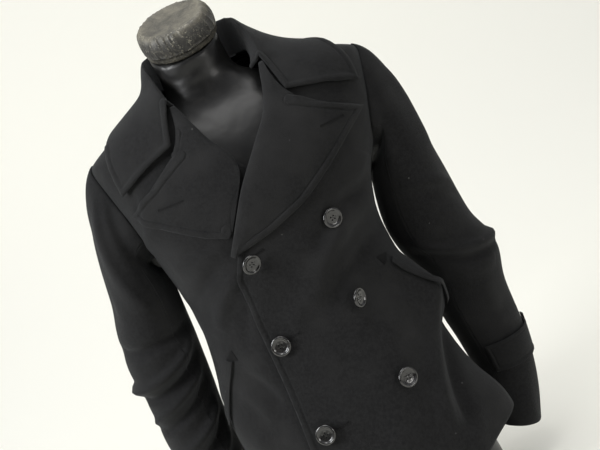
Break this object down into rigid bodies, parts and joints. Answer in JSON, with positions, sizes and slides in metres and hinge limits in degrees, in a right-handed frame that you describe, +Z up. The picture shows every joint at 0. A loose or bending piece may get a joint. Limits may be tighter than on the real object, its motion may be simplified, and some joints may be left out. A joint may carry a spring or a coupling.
{
  "type": "pea coat on a dress form",
  "caption": "Hip-length double-breasted wool pea coat with a broad collar, peaked lapels, slanted welt pockets and buttoned cuff straps, closed on a limbless dress form with a domed neck cap.",
  "frame": {"origin": "on the floor under the dress form, on its flat base", "axes": "+Z up along the form, the coat's front faces -Y, the wearer's left is +X"},
  "size_m": [0.5943, 0.3113, 0.8699],
  "materials": {
    "melton": "heavy black wool melton, brushed to a short matt nap",
    "button_resin": "polished dark resin with a raised rim",
    "form_cover": "smooth dark moulded cover with a soft gloss"
  },
  "bodies": {
    "root": {"back": "melton", "front_left": "melton", "front_right": "melton", "lapel_left": "melton", "lapel_right": "melton", "collar": "melton", "sleeve_left_top": "melton", "sleeve_left_under": "melton", "sleeve_right_top": "melton", "sleeve_right_under": "melton", "cuff_strap_left": "melton", "cuff_strap_right": "melton", "strap_loop_left": "melton", "strap_loop_right": "melton", "pocket_welt_left": "melton", "pocket_welt_right": "melton", "button_left_1": "button_resin", "button_left_2": "button_resin", "button_left_3": "button_resin", "button_right_1": "button_resin", "button_right_2": "button_resin", "button_right_3": "button_resin", "form_torso": "form_cover", "form_cap": "form_cover"}
  },
  "joints": []
}
